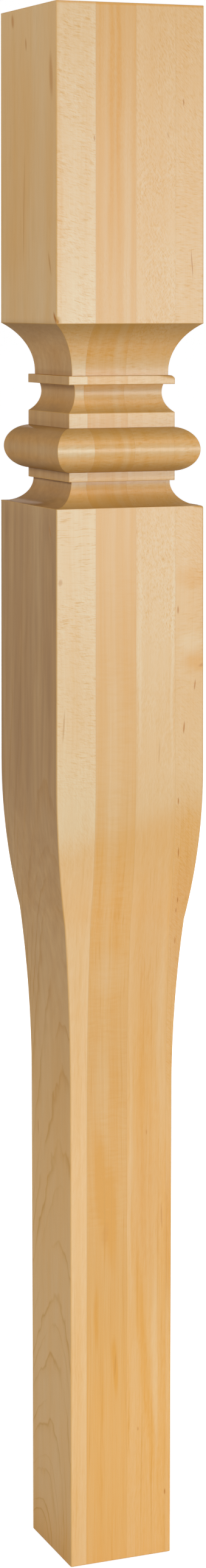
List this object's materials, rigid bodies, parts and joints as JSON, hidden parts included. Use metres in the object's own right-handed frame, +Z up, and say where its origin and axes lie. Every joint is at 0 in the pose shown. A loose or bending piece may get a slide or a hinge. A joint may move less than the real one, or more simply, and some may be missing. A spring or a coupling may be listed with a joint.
{
  "type": "square furniture leg post",
  "caption": "Square wooden furniture post glued up from boards, with a moulded neck of coves and a bead, a swelled shoulder and a slightly tapered leg.",
  "frame": {"origin": "centre of the foot, on the surface the post stands on", "axes": "+Z up along the post's axis; X is normal to the glue planes, with the narrow right outer board at +X; -Y is the wide face in the picture"},
  "size_m": [0.0888, 0.0888, 0.8763],
  "materials": {
    "left_outer_board": "satin clear lacquer",
    "left_inner_board": "satin clear lacquer",
    "right_inner_board": "satin clear lacquer",
    "right_outer_board": "satin clear lacquer"
  },
  "bodies": {
    "root": {"left_outer_board": "left_outer_board", "left_inner_board": "left_inner_board", "right_inner_board": "right_inner_board", "right_outer_board_lower": "right_outer_board", "right_outer_board_upper": "right_outer_board"}
  },
  "joints": []
}
